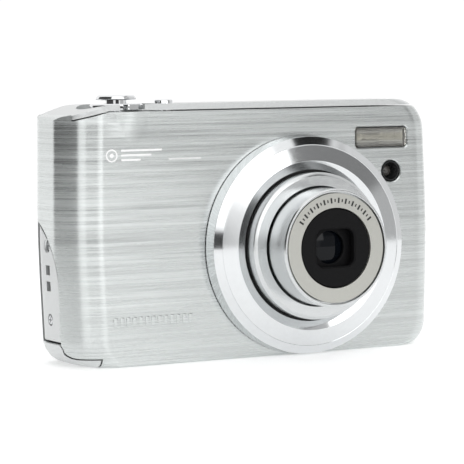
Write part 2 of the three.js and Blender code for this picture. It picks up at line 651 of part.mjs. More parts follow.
function buildFlash() {
  const group = groupAt(flashPlace.x, FRONT, flashPlace.z);
  const [w, h] = [FLASH.width - 2 * SEAM, FLASH.height - 2 * SEAM];
  add(group, 'flash_window', prismY(roundedBox(w, h, 0.7), 0.1, 1.0), MATERIAL.clear);
  const outside = prismY(roundedBox(w + 1.8, h + 1.6, 0.8), 1.3, 6.2);
  const dish = box(-w / 2, w / 2, 1, 2.6, -h / 2, h / 2).add(rodX(3.2, 0, 1.9, -w / 2, w / 2, 20));
  add(group, 'flash_reflector', outside.subtract(dish), MATERIAL.chrome);
  add(group, 'flash_tube', rodX(3.6, 0, 0.9, -w / 2 + 0.4, w / 2 - 0.4, 14), MATERIAL.clear);
  add(model, 'flash_capacitor', rodX(0, 0, 3.4, LENS_OFFSET - 24, LENS_OFFSET + 2, 20),
    MATERIAL.blackPlastic, [0, 2, COVER_TOP - WALL - 3.6]);
  const lamp = groupAt(afPlace.x, FRONT, afPlace.z);
  const cup = rodY(0, 0, AF_LAMP.radius - SEAM, 0.3, 4.4, 24).subtract(rodY(0, 0, 1.9, -1, 3.6, 20));
  add(lamp, 'af_lamp_cup', cup, MATERIAL.blackPlastic);
  add(lamp, 'af_lamp', rodY(0, 0, 1.3, 2.0, 3.3, 16), MATERIAL.clear);
}

// ---------------------------------------------------------------- controls

function buildControls() {
  const shutter = groupAt(SHUTTER_X, TOP_CONTROLS_Y, SEAT_TOP);
  const lever = turnZ([[2.9, 0.3], [LEVER_RADIUS - 0.3, 0.3], [LEVER_RADIUS, 0.6], [LEVER_RADIUS, 1.5],
    [LEVER_RADIUS - 0.4, 1.9], [2.9, 1.9]], 28);
  const tab = prismZ(rounded([[-1.9, -LEVER_RADIUS - 1.6, 0.5], [1.9, -LEVER_RADIUS - 1.6, 0.5],
    [1.9, -LEVER_RADIUS + 1.5, 0], [-1.9, -LEVER_RADIUS + 1.5, 0]], 2), 0.5, 1.7);
  add(shutter, 'zoom_lever', lever.add(tab.rotate([0, 0, 8])), MATERIAL.chrome);
  const button = turnZ([[0, -2.6], [2.5, -2.6], [2.5, 2.75], [SHUTTER_RADIUS - 0.3, 2.75],
    [SHUTTER_RADIUS, 3.0], [SHUTTER_RADIUS - 0.4, 3.7], [SHUTTER_RADIUS - 1.2, 3.9], [0, 3.9]], 24);
  add(shutter, 'shutter_button', button, MATERIAL.chrome);
  const power = turnZ([[0, -4.6], [1.2, -4.6], [1.2, -2.6], [3.0, -2.6], [3.0, -2.0], [2.25, -2.0],
    [2.25, 0.55], [1.9, 0.8], [0, 0.8]], 16);
  add(model, 'power_button', power, MATERIAL.chrome, [POWER_X, TOP_CONTROLS_Y, BODY_HEIGHT]);
  const board = box(LEFT + 8, POWER_X + 5, -6.5, 2, 0, 0.8)
    .add(rodZ(SHUTTER_X, TOP_CONTROLS_Y, 1.6, 0.7, 2.4, 16))
    .add(rodZ(POWER_X, TOP_CONTROLS_Y, 1.4, 0.7, 2.6, 16));
  add(model, 'top_board', board, MATERIAL.board, [0, 0, COVER_TOP - 6.7]);

  const keys = groupAt(KEYS_X, REAR, PAD_Z);
  const crescent = (degrees) => {
    const whole = rodY(0, 0, PAD_RADIUS, -0.9, 0.35, 28).subtract(rodY(0, 0, 3.5, -2, 2, 20));
    const wedge = new THREE.Shape([
      new THREE.Vector2(0.35, 0), new THREE.Vector2(12.35, 12), new THREE.Vector2(12.35, -12)]);
    return whole.intersect(prismY(wedge, -2, 2).rotate([0, degrees, 0]));
  };
  const stem = (x, z) => rodY(x, z, 0.9, -2.3, -0.8, 8);
  const reach = (PAD_RADIUS + 3.5) / 2;
  add(keys, 'key_right', crescent(180).add(stem(-reach, 0)), MATERIAL.silverPlastic);
  add(keys, 'key_left', crescent(0).add(stem(reach, 0)), MATERIAL.silverPlastic);
  add(keys, 'key_up', crescent(-90).add(stem(0, reach)), MATERIAL.silverPlastic);
  add(keys, 'key_down', crescent(90).add(stem(0, -reach)), MATERIAL.silverPlastic);
  add(keys, 'key_ok', rodY(0, 0, 3.15, -0.9, 0.45, 20).add(stem(0, 0)), MATERIAL.silverPlastic);
  Object.entries(KEY_PLACES).forEach(([name, { x, z, radius }]) => {
    add(model, name, rodY(0, 0, radius, -0.9, 0.4, 16).add(stem(0, 0)), MATERIAL.silverPlastic,
      [x, REAR, z]);
  });
}

// ---------------------------------------------------------------- inside the body

function chassis() {
  const [front, rear] = [BATTERY_Y - 1.2, CARD_Y + CARD.thickness + 2.0];
  const divider = BATTERY_Y + BATTERY.thickness + 0.35;
  const base = BAY_FLOOR + 0.3;
  const left = BAY_LEFT - 0.4;
  const wall = BAY_WALL;
  const right = BAY_RIGHT + wall;
  return box(BAY_RIGHT, right, front, rear, base, BAY_TOP + wall)
    .add(box(left - wall, right, front, front + wall, base, BAY_TOP + wall))
    .add(box(left - wall, BAY_RIGHT + 0.1, divider, divider + wall, base, BAY_TOP + wall))
    .add(box(left - wall, left, front, divider + wall, base, BAY_TOP + wall))
    .add(box(left - wall, right, front, divider + wall, BAY_TOP, BAY_TOP + wall))
    .add(box(BAY_RIGHT, right, front, rear, BAY_TOP, COVER_TOP - 8.4))
    .add(box(BAY_RIGHT, LENS_OFFSET + 4, -4, rear, COVER_TOP - 9.0, COVER_TOP - 8.4));
}

function cardSocket() {
  const [x0, x1] = [CARD_X - 1.1, CARD_X + CARD.width + 1.1];
  const [y0, y1] = [CARD_Y - 0.85, CARD_Y + CARD.thickness + 0.85];
  const top = BAY_FLOOR + CARD.height + CARD_TRAVEL + 0.4;
  return box(x0, x1, y0, y1, 12, top + 0.8)
    .subtract(box(x0 + 0.8, x1 - 0.8, y0 + 0.5, y1 - 0.5, 8, top));
}

function batteryDoor() {
  const zone = doorZone(0);
  const shell = outerForm.subtract(bodyForm(DOOR_THICKNESS));
  const knuckles = zone.hinge.add(zone.plate.intersect(outerForm));
  const carrierGap = box(HINGE_X - 1.5, HINGE_X + 2, -0.3, 4.6, -1, 3);
  return shell.intersect(zone.cap)
    .add(knuckles.subtract(carrierGap))
    .subtract(rodY(HINGE_X, HINGE_Z, 0.38, DOOR_FRONT - 1, DOOR_REAR + 1, 12));
}

function buildInside() {
  add(model, 'chassis', chassis(), MATERIAL.blackPlastic);
  add(model, 'battery', prismZ(rounded([[0, 0, 0.8], [BATTERY.width, 0, 0.8],
    [BATTERY.width, BATTERY.thickness, 0.8], [0, BATTERY.thickness, 0.8]], 3), 0, BATTERY.height),
  MATERIAL.cell, [BAY_LEFT, BATTERY_Y, BAY_FLOOR]);
  add(model, 'battery_contacts', box(6, 22, 1, 6, 0.3, 1.3), MATERIAL.brass,
    [BAY_LEFT, BATTERY_Y, BAY_FLOOR + BATTERY.height]);
  const latch = box(BATTERY.width - 0.8, BATTERY.width + 1.8, 2.2, 5.2, -1.2, -0.4)
    .add(box(BATTERY.width + 0.2, BATTERY.width + 0.9, 2.2, 5.2, -1.4, -1.1));
  add(model, 'battery_latch', latch, MATERIAL.brass, [BAY_LEFT, BATTERY_Y, BAY_FLOOR]);
  const corner = 3;
  const outline = new THREE.Shape([[0, 0], [CARD.width, 0], [CARD.width, CARD.height],
    [corner, CARD.height], [0, CARD.height - corner]].map(([x, z]) => new THREE.Vector2(x, z)));
  add(model, 'memory_card', prismY(outline, 0, CARD.thickness), MATERIAL.cell,
    [CARD_X, CARD_Y, BAY_FLOOR]);
  add(model, 'card_socket', cardSocket(), MATERIAL.greyMetal);

  add(model, 'battery_door', batteryDoor(), MATERIAL.silverPlastic);
  const slider = rodY(0, HINGE_Z, KNUCKLE_RADIUS, 0, 4.3, 16)
    .add(box(-0.45, 0.45, 0, 4.3, HINGE_Z, 2.3))
    .add(box(-0.45, 8, 0, 4.3, 1.65, 2.3))
    .subtract(rodY(0, HINGE_Z, 0.38, -1, 6, 12));
  add(model, 'door_slider', slider, MATERIAL.greyMetal, [HINGE_X, 0, 0]);
  add(model, 'door_pin', rodY(0, 0, 0.35, DOOR_FRONT + 0.4, DOOR_REAR - 0.4, 12), MATERIAL.steel,
    [HINGE_X, 0, HINGE_Z]);

  const boardZ = [BAY_FLOOR, COVER_TOP - 6];
  let mainBoard = box(LEFT + 7, RIGHT - 3, 0, BOARD_THICKNESS, boardZ[0], boardZ[1])
    .add(box(BAY_RIGHT + 8, BAY_RIGHT + 18, -0.7, 0.1, COVER_TOP - 8.1, COVER_TOP - 6.1));
  const reach = (PAD_RADIUS + 3.5) / 2;
  const domes = [[0, 0], [reach, 0], [-reach, 0], [0, reach], [0, -reach]]
    .map(([x, z]) => [KEYS_X + x, PAD_Z + z])
    .concat(Object.values(KEY_PLACES).map(({ x, z }) => [x, z]));
  domes.forEach(([x, z]) => {
    mainBoard = mainBoard.add(rodY(x, z, 1.5, BOARD_THICKNESS - 0.1, BOARD_THICKNESS + 1.1, 8));
  });
  add(model, 'main_board', mainBoard, MATERIAL.board, [0, BOARD_Y, 0]);
  const usb = box(-7.5, 0, -USB.height, 0, -USB.width / 2, USB.width / 2)
    .subtract(box(-6.5, 1, -USB.height + 0.4, -0.4, -USB.width / 2 + 0.5, USB.width / 2 - 0.5))
    .add(box(-6.6, -1.2, -USB.height / 2 - 0.35, -USB.height / 2 + 0.35, -2.6, 2.6));
  add(model, 'usb_socket', usb, MATERIAL.steel, [RIGHT - 0.5, BOARD_Y - 0.3, USB.z]);
  const panelY = BOARD_Y + BOARD_THICKNESS + 0.3;
  add(model, 'lcd_module', prismY(roundedBox(LCD.width - 1, LCD.height - 1, 1), panelY,
    CAVITY_REAR - 0.3), MATERIAL.greyMetal, [LCD_CENTRE_X, 0, LCD_CENTRE_Z]);
  add(model, 'lcd_window', prismY(roundedBox(LCD.width, LCD.height, 1.2), CAVITY_REAR, REAR + 0.1),
    MATERIAL.screen, [LCD_CENTRE_X, 0, LCD_CENTRE_Z]);
}

buildShell();
buildLens();
buildFlash();
buildControls();
buildInside();

export default model;
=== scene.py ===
import json
import math

import bmesh
import bpy
from mathutils import Matrix, Vector


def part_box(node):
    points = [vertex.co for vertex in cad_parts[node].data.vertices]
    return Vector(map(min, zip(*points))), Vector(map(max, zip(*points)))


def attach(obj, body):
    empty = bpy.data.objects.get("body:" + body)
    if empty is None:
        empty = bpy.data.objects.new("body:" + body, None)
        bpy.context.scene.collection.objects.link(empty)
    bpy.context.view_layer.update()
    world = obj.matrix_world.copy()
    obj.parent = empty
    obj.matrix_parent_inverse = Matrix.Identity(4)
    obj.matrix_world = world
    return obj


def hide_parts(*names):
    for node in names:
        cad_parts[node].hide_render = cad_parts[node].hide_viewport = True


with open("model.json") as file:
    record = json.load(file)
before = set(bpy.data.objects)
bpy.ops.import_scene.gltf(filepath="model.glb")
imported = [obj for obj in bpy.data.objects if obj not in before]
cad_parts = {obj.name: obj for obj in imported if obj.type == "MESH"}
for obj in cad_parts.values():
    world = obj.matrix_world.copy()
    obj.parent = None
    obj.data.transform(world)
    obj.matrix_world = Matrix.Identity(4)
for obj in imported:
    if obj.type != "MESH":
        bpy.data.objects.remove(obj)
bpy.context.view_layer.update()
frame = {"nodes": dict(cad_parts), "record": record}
scene = bpy.context.scene
MM = 0.001

# Every length below is in millimetres, in the CAD frame. Places come from the CAD nodes' boxes.


def span(node):
    low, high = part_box(node)
    return low / MM, high / MM


def centre(node):
    low, high = span(node)
    return (low + high) / 2


LEFT, RIGHT = -50.0, 50.0
SEAM = 0.3
PLATE = 1.6
REAR_DEPTH = 4
SHOULDER_RUN = 11
SHOULDER_DROP = 3
HAIR = 4e-4
WELL_RADIUS = 9.4
FLOOR_RADIUS = 430
REAR = span("lcd_window")[1].y - 0.1
FRONT = -REAR
PARTING = REAR - REAR_DEPTH
COVER_TOP = span("front_cover")[1].z + SEAM
TOP = COVER_TOP + PLATE
LENS = centre("lens_bezel")
LENS.y = FRONT
SHUTTER = centre("shutter_button")
POWER = centre("power_button")
PANEL_Y = centre("side_screw_upper").y
DOOR = span("battery_door")


# ---------------------------------------------------------------- mesh helpers


def rounded(corners, steps=8):
    """The polygon's corners (x, y, radius), rounded by arcs."""
    out = []
    count = len(corners)
    for i, corner in enumerate(corners):
        here = Vector(corner[:2])
        radius = corner[2] if len(corner) > 2 else 0
        if radius <= 0:
            out.append(here)
            continue
        back = (Vector(corners[i - 1][:2]) - here).normalized()
        on = (Vector(corners[(i + 1) % count][:2]) - here).normalized()
        half = back.angle(on) / 2
        middle = here + (back + on).normalized() * (radius / math.sin(half))
        start = here + back * (radius / math.tan(half)) - middle
        turn = (math.pi - 2 * half) * math.copysign(1, back.cross(on))
        pieces = max(2, math.ceil(steps * abs(turn) / (math.pi / 2)))
        for k in range(pieces + 1):
            angle = -turn * k / pieces
            out.append(middle + Vector((
                start.x * math.cos(angle) - start.y * math.sin(angle),
                start.x * math.sin(angle) + start.y * math.cos(angle))))
    return out


def rectangle(width, height, radius, steps=8):
    w, h = width / 2, height / 2
    return rounded([(-w, -h, radius), (w, -h, radius), (w, h, radius), (-w, h, radius)], steps)


def circle(radius, sides=64):
    return [Vector((radius * math.cos(2 * math.pi * k / sides), radius * math.sin(2 * math.pi * k / sides)))
            for k in range(sides)]


def offset(points, grow):
    """A counter-clockwise outline grown by a distance."""
    out = []
    for i, here in enumerate(points):
        a = (here - points[i - 1]).normalized()
        b = (points[(i + 1) % len(points)] - here).normalized()
        n, m = Vector((a.y, -a.x)), Vector((b.y, -b.x))
        out.append(here + (n + m) * (grow / (1 + n.dot(m))))
    return out


PLACE = {
    "X": lambda u, v, h: (h, u, v),
    "Y": lambda u, v, h: (u, h, v),
    "Z": lambda u, v, h: (u, v, h),
}


def build(name, points, faces):
    mesh = bpy.data.meshes.new(name)
    mesh.from_pydata([Vector(p) * MM for p in points], [], faces)
    shape = bmesh.new()
    shape.from_mesh(mesh)
    bmesh.ops.remove_doubles(shape, verts=shape.verts, dist=2e-7)
    bmesh.ops.dissolve_degenerate(shape, edges=shape.edges, dist=1e-7)
    bmesh.ops.recalc_face_normals(shape, faces=shape.faces)
    shape.to_mesh(mesh)
    shape.free()
    obj = bpy.data.objects.new(name, mesh)
    scene.collection.objects.link(obj)
    return obj


def rings(name, loops, closed=False):
    """A skin over loops of equally many points, capped at both ends unless it closes on itself."""
    n = len(loops[0])
    points = [p for loop in loops for p in loop]
    faces = []
    for i in range(len(loops) if closed else len(loops) - 1):
        a, b = i * n, ((i + 1) % len(loops)) * n
        faces += [(a + k, a + (k + 1) % n, b + (k + 1) % n, b + k) for k in range(n)]
    if not closed:
        faces += [tuple(range(n)), tuple(range((len(loops) - 1) * n, len(loops) * n))]
    return build(name, points, faces)


def stack(name, outline, levels, axis="Y", at=(0, 0)):
    """The outline swept along an axis through levels (height, growth)."""
    place = PLACE[axis]
    loops = []
    for height, grow in levels:
        loops.append([place(p.x + at[0], p.y + at[1], height) for p in offset(outline, grow)])
    return rings(name, loops)


def edged(low, high, radius, both=True, steps=3):
    """Levels of a sweep with its high end, or both ends, rounded."""
    arc = [(radius * (1 - math.sin(k * math.pi / 2 / steps)),
            -radius * (1 - math.cos(k * math.pi / 2 / steps)))
           for k in range(steps + 1)]
    up = [(high - radius + radius * math.sin(k * math.pi / 2 / steps),
           -radius * (1 - math.cos(k * math.pi / 2 / steps))) for k in range(steps + 1)]
    down = [(low + d, grow) for d, grow in reversed(arc)] if both else [(low, 0)]
    return down + up


def lathe(name, profile, place, axis="Y", sides=160, steps=4):
    """A turned piece from its closed profile (radius, height, fillet)."""
    points = rounded(profile, steps)
    put = PLACE[axis]
    loops = []
    for k in range(sides):
        c, s = math.cos(2 * math.pi * k / sides), math.sin(2 * math.pi * k / sides)
        loops.append([Vector(put(p.x * c, p.x * s, p.y)) + Vector(place) for p in points])
    return rings(name, loops, closed=True)


def applied(obj):
    bpy.context.view_layer.update()
    evaluated = obj.evaluated_get(bpy.context.evaluated_depsgraph_get())
    mesh = bpy.data.meshes.new_from_object(evaluated)
    old = obj.data
    obj.modifiers.clear()
    obj.data = mesh
    bpy.data.meshes.remove(old)
    return obj


def combine(obj, operation, *others, keep=()):
    for other in others:
        modifier = obj.modifiers.new("combine", "BOOLEAN")
        modifier.operation = operation
        modifier.solver = "EXACT"
        modifier.object = other
    applied(obj)
    for other in others:
        if other not in keep:
            bpy.data.objects.remove(other)
    return obj


def cut(obj, *others):
    return combine(obj, "DIFFERENCE", *others)


def common(obj, *others):
    return combine(obj, "INTERSECT", *others)


def join(obj, *others):
    return combine(obj, "UNION", *others)


def bevel(obj, width, segments=2, angle=35):
    modifier = obj.modifiers.new("bevel", "BEVEL")
    modifier.width = width * MM
    modifier.segments = segments
    modifier.limit_method = "ANGLE"
    modifier.angle_limit = math.radians(angle)
    modifier.miter_outer = "MITER_ARC"
    return applied(obj)


def block(name, low, high):
    outline = [Vector((low[0], low[1])), Vector((high[0], low[1])), Vector((high[0], high[1])),
               Vector((low[0], high[1]))]
    return stack(name, outline, [(low[2], 0), (high[2], 0)], "Z")


def piece(obj, body, slot, material, *nodes, angle=28):
    """Hand a finished mesh, with its material, to a body, in place of the CAD nodes named; slot is not
    used.
    """
    mesh = obj.data
    mesh.materials.clear()
    mesh.materials.append(material)
    for face in mesh.polygons:
        face.material_index = 0
    mesh.shade_smooth()
    mesh.set_sharp_from_angle(angle=math.radians(angle))
    modifier = obj.modifiers.new("normals", "WEIGHTED_NORMAL")
    modifier.keep_sharp = True
    applied(obj)
    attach(obj, body)
    if nodes:
        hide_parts(*nodes)
    return obj


# ---------------------------------------------------------------- materials


class Tree:
    """Short-hand for making and linking shader nodes."""

    def __init__(self, tree):
        self.tree = tree
        tree.nodes.clear()

    def add(self, kind, output=0, inputs=None, **settings):
        made = self.tree.nodes.new("ShaderNode" + kind)
        for key, value in settings.items():
            setattr(made, key, value)
        for key, value in (inputs or {}).items():
            if isinstance(value, bpy.types.NodeSocket):
                self.tree.links.new(value, made.inputs[key])
            else:
                made.inputs[key].default_value = value
        return made.outputs[output]

    def math(self, operation, a, b=0.0, clamp=False):
        return self.add("Math", inputs={0: a, 1: b}, operation=operation, use_clamp=clamp)

    def vector(self, operation, a, b=(0, 0, 0)):
        return self.add("VectorMath", inputs={0: a, 1: b}, operation=operation)

    def remap(self, value, low, high, to_low=0.0, to_high=1.0, smooth=False):
        return self.add("MapRange", inputs={0: value, 1: low, 2: high, 3: to_low, 4: to_high},
                        interpolation_type="SMOOTHSTEP" if smooth else "LINEAR")

    def noise(self, scale, detail=4.0, roughness=0.55):
        place = self.add("TexCoord", 3)
        spread = self.add("Mapping", inputs={0: place, 3: scale})
        return self.add("TexNoise", inputs={"Vector": spread, "Scale": 1.0, "Detail": detail,
                                            "Roughness": roughness})

    def mix(self, factor, a, b, blend="MIX"):
        return self.add("Mix", 2, inputs={0: factor, 6: a, 7: b}, data_type="RGBA", blend_type=blend)


def grey(value, warm=0.0):
    return (value * (1 + warm), value, value * (1 - warm), 1.0)


def tinted(colour, gain):
    return tuple(min(1.0, c * gain) for c in colour[:3]) + (1.0,)


def surface(name, colour, metallic=0.0, roughness=0.4, grain=(700, 700, 700), shift=0.08, rough_shift=0.06,
            bump=0.05, deep=0.00002, coarse=None, tangent=None, **sockets):
    """A Principled finish whose colour, roughness and relief vary with fine noise."""
    material = bpy.data.materials.new(name)
    material.use_nodes = True
    t = Tree(material.node_tree)
    fine = t.noise(grain)
    level = fine
    if coarse:
        level = t.math("ADD", t.math("MULTIPLY", fine, 0.55),
                       t.math("MULTIPLY", t.noise(coarse, 2.0), 0.45))
    shade = t.mix(t.remap(level, 0.3, 0.7), tinted(colour, 1 - shift), tinted(colour, 1 + shift))
    rough = t.remap(level, 0.3, 0.7, roughness - rough_shift, roughness + rough_shift)
    relief = t.add("Bump", inputs={"Strength": bump, "Distance": deep, "Height": fine})
    inputs = {"Base Color": shade, "Metallic": metallic, "Roughness": rough, "Normal": relief}
    if tangent:
        normal = t.add("NewGeometry", 1)
        inputs["Tangent"] = tangent(t, normal)
    inputs.update(sockets)
    shader = t.add("BsdfPrincipled", inputs=inputs)
    end = material.node_tree.nodes.new("ShaderNodeOutputMaterial")
    material.node_tree.links.new(shader, end.inputs[0])
    return material


def upright(t, normal):
    """The direction up the surface, across level brushing."""
    along = t.vector("CROSS_PRODUCT", (0, 0, 1), normal)
    return t.add("VectorMath", inputs={0: t.vector("CROSS_PRODUCT", normal, along)}, operation="NORMALIZE")


BRUSHED = surface("brushed shell", (0.635, 0.66, 0.655, 1), 1.0, 0.27, (45, 45, 4200), 0.20, 0.10, 0.17,
                  0.00004, coarse=(14, 14, 1100), tangent=upright, Anisotropic=0.8)
SILVER = surface("silver paint", (0.66, 0.675, 0.675, 1), 0.55, 0.34, (2400, 2400, 2400), 0.04, 0.04, 0.05,
                 **{"Coat Weight": 0.25, "Coat Roughness": 0.2})
POLISHED = surface("polished metal", (0.74, 0.755, 0.765, 1), 1.0, 0.09, (900, 3500, 900), 0.015, 0.015,
                   0.01)
SATIN = surface("satin metal", (0.66, 0.675, 0.68, 1), 1.0, 0.23, (900, 5200, 900), 0.03, 0.03, 0.03)
CHROME = surface("chrome plate", (0.78, 0.79, 0.80, 1), 1.0, 0.06, (1200, 1200, 1200), 0.02, 0.02, 0.01)
RING = surface("name ring", (0.50, 0.50, 0.465, 1), 0.75, 0.38, (2600, 900, 2600), 0.03, 0.05, 0.04)
BLACK = surface("black plastic", (0.006, 0.006, 0.0065, 1), 0.0, 0.5, (1800, 1800, 1800), 0.2, 0.08, 0.12,
                **{"Specular IOR Level": 0.1})
BLACK_GLOSS = surface("black gloss", (0.02, 0.021, 0.022, 1), 0.0, 0.16, (1500, 1500, 1500), 0.2, 0.04,
                      0.05)
RUBBER = surface("rubber", (0.012, 0.012, 0.012, 1), 0.0, 0.7, (2500, 2500, 2500), 0.2, 0.08, 0.2)
STEEL = surface("plated steel", (0.60, 0.61, 0.62, 1), 1.0, 0.22, (1500, 1500, 1500), 0.05, 0.06, 0.05)
GREY = surface("sheet metal", (0.42, 0.43, 0.44, 1), 1.0, 0.35, (300, 300, 2600), 0.06, 0.08, 0.06)
BRASS = surface("brass", (0.68, 0.52, 0.26, 1), 1.0, 0.26, (1400, 1400, 1400), 0.06, 0.06, 0.05)
SENSOR = surface("sensor glass", (0.05, 0.08, 0.10, 1), 0.2, 0.08, (3000, 3000, 3000), 0.15, 0.03, 0.02)
BOARD = surface("solder mask", (0.03, 0.13, 0.07, 1), 0.0, 0.38, (2200, 2200, 2200), 0.2, 0.08, 0.15,
                coarse=(500, 500, 500))
WRAP = surface("battery wrap", (0.03, 0.033, 0.036, 1), 0.0, 0.36, (1600, 1600, 1600), 0.15, 0.06, 0.05)
CARD = surface("card plastic", (0.012, 0.016, 0.06, 1), 0.0, 0.42, (2600, 2600, 2600), 0.15, 0.06, 0.12)
WHITE = surface("printed white", (0.93, 0.93, 0.93, 1), 0.0, 0.35, (3000, 3000, 3000), 0.02, 0.05, 0.03)
INK = surface("printed black", (0.015, 0.015, 0.015, 1), 0.0, 0.4, (3000, 3000, 3000), 0.1, 0.05, 0.03)
SCREEN = surface("screen window", (0.008, 0.008, 0.010, 1), 0.0, 0.05, (1200, 1200, 1200), 0.1, 0.02, 0.01,
                 **{"Coat Weight": 0.6, "Coat Roughness": 0.03})
GLASS = surface("coated lens glass", (0.003, 0.004, 0.006, 1), 0.0, 0.04, (900, 900, 900), 0.2, 0.01, 0.0,
                **{"Specular IOR Level": 0.12, "Coat Weight": 0.15, "Coat Roughness": 0.02})
CLEAR = surface("clear plastic", (0.92, 0.91, 0.86, 1), 0.0, 0.08, (1200, 1200, 1200), 0.02, 0.03, 0.02,
                **{"Transmission Weight": 0.92, "IOR": 1.49})
LAMP = surface("lamp lens", (0.16, 0.15, 0.14, 1), 0.0, 0.10, (2000, 2000, 2000), 0.05, 0.03, 0.02,
               **{"Transmission Weight": 0.6, "IOR": 1.5})

BY_SLOT = {
    "brushed_shell": BRUSHED, "silver_plastic": SILVER, "polished_metal": POLISHED, "chrome": CHROME,
    "name_ring": RING, "black_plastic": BLACK, "glass": GLASS, "clear_plastic": CLEAR,
    "screen_glass": SCREEN, "rubber": RUBBER, "steel": STEEL, "grey_metal": GREY, "brass": BRASS,
    "sensor": SENSOR, "circuit_board": BOARD, "battery_wrap": WRAP, "card_plastic": CARD,
}
for part in frame["record"]["subparts"]:
    mesh = frame["nodes"][part["node"]].data
    mesh.materials.clear()
    mesh.materials.append(BY_SLOT[part["material_slot"]])


# ---------------------------------------------------------------- body shell


def form(name, inset, edge=0.5):
    """The body's outer form, set in by inset: its plan outline at each height, following the sides'
    bow and corners, then cut along the left shoulder. HAIR keeps that cut off the form's top face."""
    x0, x1 = LEFT + inset, RIGHT - inset
    z0, z1 = inset, TOP - inset
    middle = LENS.z + 2
    face = rounded([
        (x0 + 1.1, z0, 6.5 - inset), (x1 - 1.1, z0, 6 - inset), (x1, middle, 260),
        (x1 - 1.1, z1, 8 - inset), (x0 + 0.66, z1), (x0, middle, 260)], 10)
    right = sorted((p.y, p.x) for p in face if p.x > 0)
    left = sorted((p.y, p.x) for p in face if p.x < 0)

    def at(chain, z):
        for (za, xa), (zb, xb) in zip(chain, chain[1:]):
            if za <= z <= zb:
                return xa + (xb - xa) * (z - za) / max(zb - za, 1e-9)
        return chain[0][1] if z < chain[0][0] else chain[-1][1]

    heights = {round(z, 4) for z, _ in left + right}
    heights |= {round(z0 + edge * (1 - math.cos(k * math.pi / 8)), 4) for k in range(5)}
    heights |= {round(z0 + (z1 - z0) * k / 16, 4) for k in range(17)}
    loops = []
    for z in sorted(heights):
        d = min(z - z0, edge)
        back = edge - math.sqrt(max(edge * edge - (edge - d) ** 2, 0))
        y0, y1 = FRONT + inset + back, REAR - inset - back
        a, b = at(left, z), at(right, z)
        plan = rounded([(a, y0, 9 - inset), (b, y0, 6 - inset), (b, y1, 8 - inset), (a, y1, 8 - inset)], 14)
        loops.append([(p.x, p.y, z) for p in plan])
    shoulder = rounded([(x0 - 3, -5), (x1 + 6, -5), (x1 + 6, z1 + HAIR), (x0 + SHOULDER_RUN, z1 + HAIR, 12),
                        (x0 + 0.6, z1 - SHOULDER_DROP, 1.6), (x0 - 0.4, z1 - 12)], 10)
    return common(rings(name, loops),
                  stack(name + "_shoulder", shoulder, [(FRONT - 7, 0), (REAR + 7, 0)], "Y"))


def top_zone(name, raised):
    """Everything above the covers' top edge, which steps down along the left shoulder."""
    outline = [Vector(p) for p in [
        (LEFT + 2.85, COVER_TOP - 1.94 + raised), (LEFT + SHOULDER_RUN, COVER_TOP + raised),
        (RIGHT + 5, COVER_TOP + raised),
        (RIGHT + 5, TOP + 9), (LEFT + 2.85, TOP + 9)]]
    return stack(name, outline, [(FRONT - 6, 0), (REAR + 6, 0)], "Y")


def panel_outline(grow):
    """The strap-side panel's outline in the Y-Z plane."""
    front, rear, base = -4.2 - grow, PARTING - 0.3 + grow, 5.75 - grow
    points = [Vector((front, base)), Vector((rear, base)), Vector((rear, 33.6 + grow))]
    curve = [Vector((rear, 33.6 + grow)), Vector((1.5, 31.2 + grow)), Vector((front, 25.5)),
             Vector((front, 18))]
    for k in range(1, 29):
        t = k / 28
        points.append(curve[0] * (1 - t) ** 3 + curve[1] * (3 * t * (1 - t) ** 2)
                      + curve[2] * (3 * t * t * (1 - t)) + curve[3] * t ** 3)
    return points


def door_zone(name, grow):
    """The corner cap of the battery door, seen from the front."""
    inner, height, side = LEFT + 8.15 + grow, 2.0 + grow, 5.3 + grow
    outline = rounded([
        (LEFT - 3, -3), (inner, -3), (inner, height), (LEFT + 2.3, height, 2.6),
        (LEFT + 1.0, side), (LEFT - 3, side)], 12)
    return stack(name, outline, [(FRONT - 4, 0), (PARTING - 0.3 + grow, 0)], "Y")


def plate_zone(name, grow):
    """The flat plate of the battery door, under the body."""
    low, high = LEFT + 4, DOOR[1].x + grow - 0.7
    return block(name, (low, FRONT + 3.5 - grow, -1), (high, PARTING - 1 + grow, 1.3 + grow))


def flare(name, outline, at, deep, wide=0.3):
    """A cutter through the front wall that widens at the face."""
    return stack(name, outline,
                 [(FRONT - 2, wide), (FRONT - 0.001, wide), (FRONT + wide, 0), (FRONT + deep, 0)],
                 "Y", at)


FLASH = centre("flash_window")
AF = centre("af_lamp_cup")
TRIPOD = centre("tripod_insert")
USB = span("usb_socket")

cover = form("front_cover_skin", 0)
bulge = rings("bulge", [[(SHUTTER.x + r * c.x, SHUTTER.y + r * c.y, z) for c in circle(1, 192)]
                        for z, r in ((COVER_TOP - 9, 8.9), (COVER_TOP + 0.3, 10.16))])
common(bulge, block("front", (LEFT, FRONT - 5, 0), (RIGHT, FRONT + 1.4, TOP)))
join(cover, bulge)
cut(cover, form("cavity", 1.0, 0.2), top_zone("above", -SEAM),
    block("behind", (LEFT - 2, PARTING - 0.15, -2), (RIGHT + 2, REAR + 3, TOP + 3)))
seat = lathe("seat", [(3.3, COVER_TOP - 1.2), (9.1, COVER_TOP - 1.2), (9.1, COVER_TOP - 0.3, 0.15),
                      (3.3, COVER_TOP - 0.3)], (SHUTTER.x, SHUTTER.y, 0), "Z", 128)
join(cover, seat)
panel_hole = stack("panel_hole", panel_outline(0.3), [
    (LEFT - 3, 1.0), (LEFT + 0.15, 1.0), (LEFT + 0.4, 0.75), (LEFT + 0.65, 0.35), (LEFT + 0.95, 0),
    (LEFT + 6, 0)], "X")
cut(panel_hole, form("panel_floor", 2.2, 0.2))
